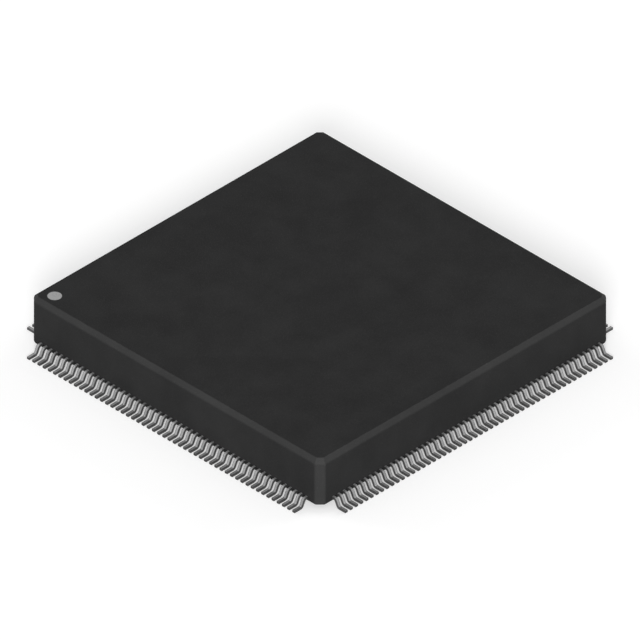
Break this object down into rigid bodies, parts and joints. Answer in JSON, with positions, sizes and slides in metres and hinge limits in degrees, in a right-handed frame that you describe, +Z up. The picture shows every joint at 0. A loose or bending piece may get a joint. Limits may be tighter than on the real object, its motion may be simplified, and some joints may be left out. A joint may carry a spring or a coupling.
{
  "type": "integrated circuit",
  "caption": "Flat square plastic chip package with fine gull-wing leads along all four sides, bevelled edges and a round mark by pin one.",
  "frame": {"origin": "centre of the package on the seating plane, which the soles of the leads rest on", "axes": "+Z up out of the top face, +X and +Y square to the sides; pin one is at the -Y side's end towards -X, and the pins run counter-clockwise seen from above"},
  "size_m": [0.0306, 0.0306, 0.0041],
  "materials": {
    "mould_compound": "dark grey moulded epoxy, fine matt texture",
    "mark_ink": "light grey printed ink",
    "copper_strip": "bare copper alloy strip",
    "silver_epoxy": "cured silver-filled adhesive",
    "silicon": "polished dark silicon",
    "lead_metal": "matt tin plating on copper alloy strip",
    "gold_wire": "drawn gold"
  },
  "bodies": {
    "root": {"moulded_body": "mould_compound", "pin_one_mark": "mark_ink", "chip_pad": "copper_strip", "chip_adhesive": "silver_epoxy", "silicon_chip": "silicon", "leads_front": "lead_metal", "leads_right": "lead_metal", "leads_back": "lead_metal", "leads_left": "lead_metal", "bond_wires_front": "gold_wire", "bond_wires_right": "gold_wire", "bond_wires_back": "gold_wire", "bond_wires_left": "gold_wire"}
  },
  "joints": []
}
